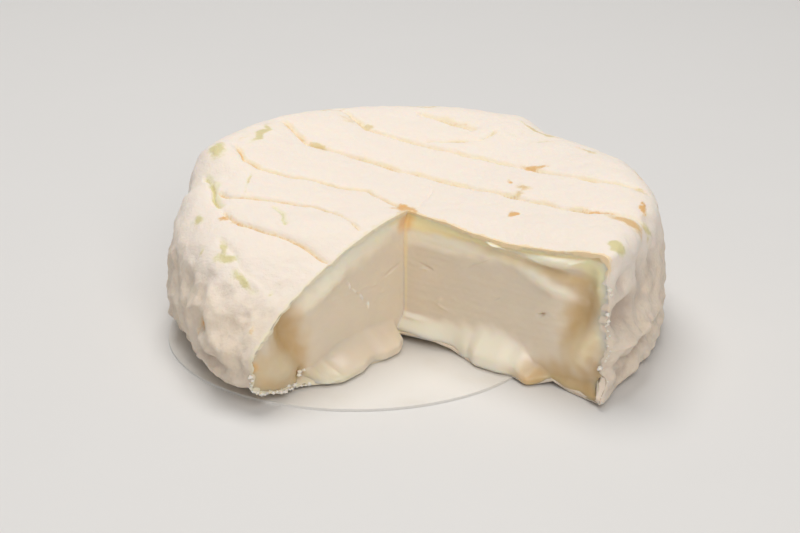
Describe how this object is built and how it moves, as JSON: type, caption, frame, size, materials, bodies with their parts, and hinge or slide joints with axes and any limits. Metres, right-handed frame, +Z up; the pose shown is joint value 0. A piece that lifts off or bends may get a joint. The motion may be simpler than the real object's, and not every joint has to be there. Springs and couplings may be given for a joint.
{
  "type": "small ripened goat cheese",
  "caption": "Flat round of soft goat cheese with a bloomy creased rind, a wedge cut out of it and runny paste under the rind, lying on a thin round of white card.",
  "frame": {"origin": "on the surface the cheese lies on, under the middle of the whole's bounding box", "axes": "+Z up; the cut-out wedge opens towards -Y, and its right cut runs towards +X and -Y"},
  "size_m": [0.0692, 0.0659, 0.0217],
  "materials": {
    "rind": "matte off-white downy rind with ochre folds, and satin cream paste at the cuts",
    "card": "smooth matte white card"
  },
  "bodies": {
    "root": {"cheese": "rind", "card": "card"}
  },
  "joints": []
}
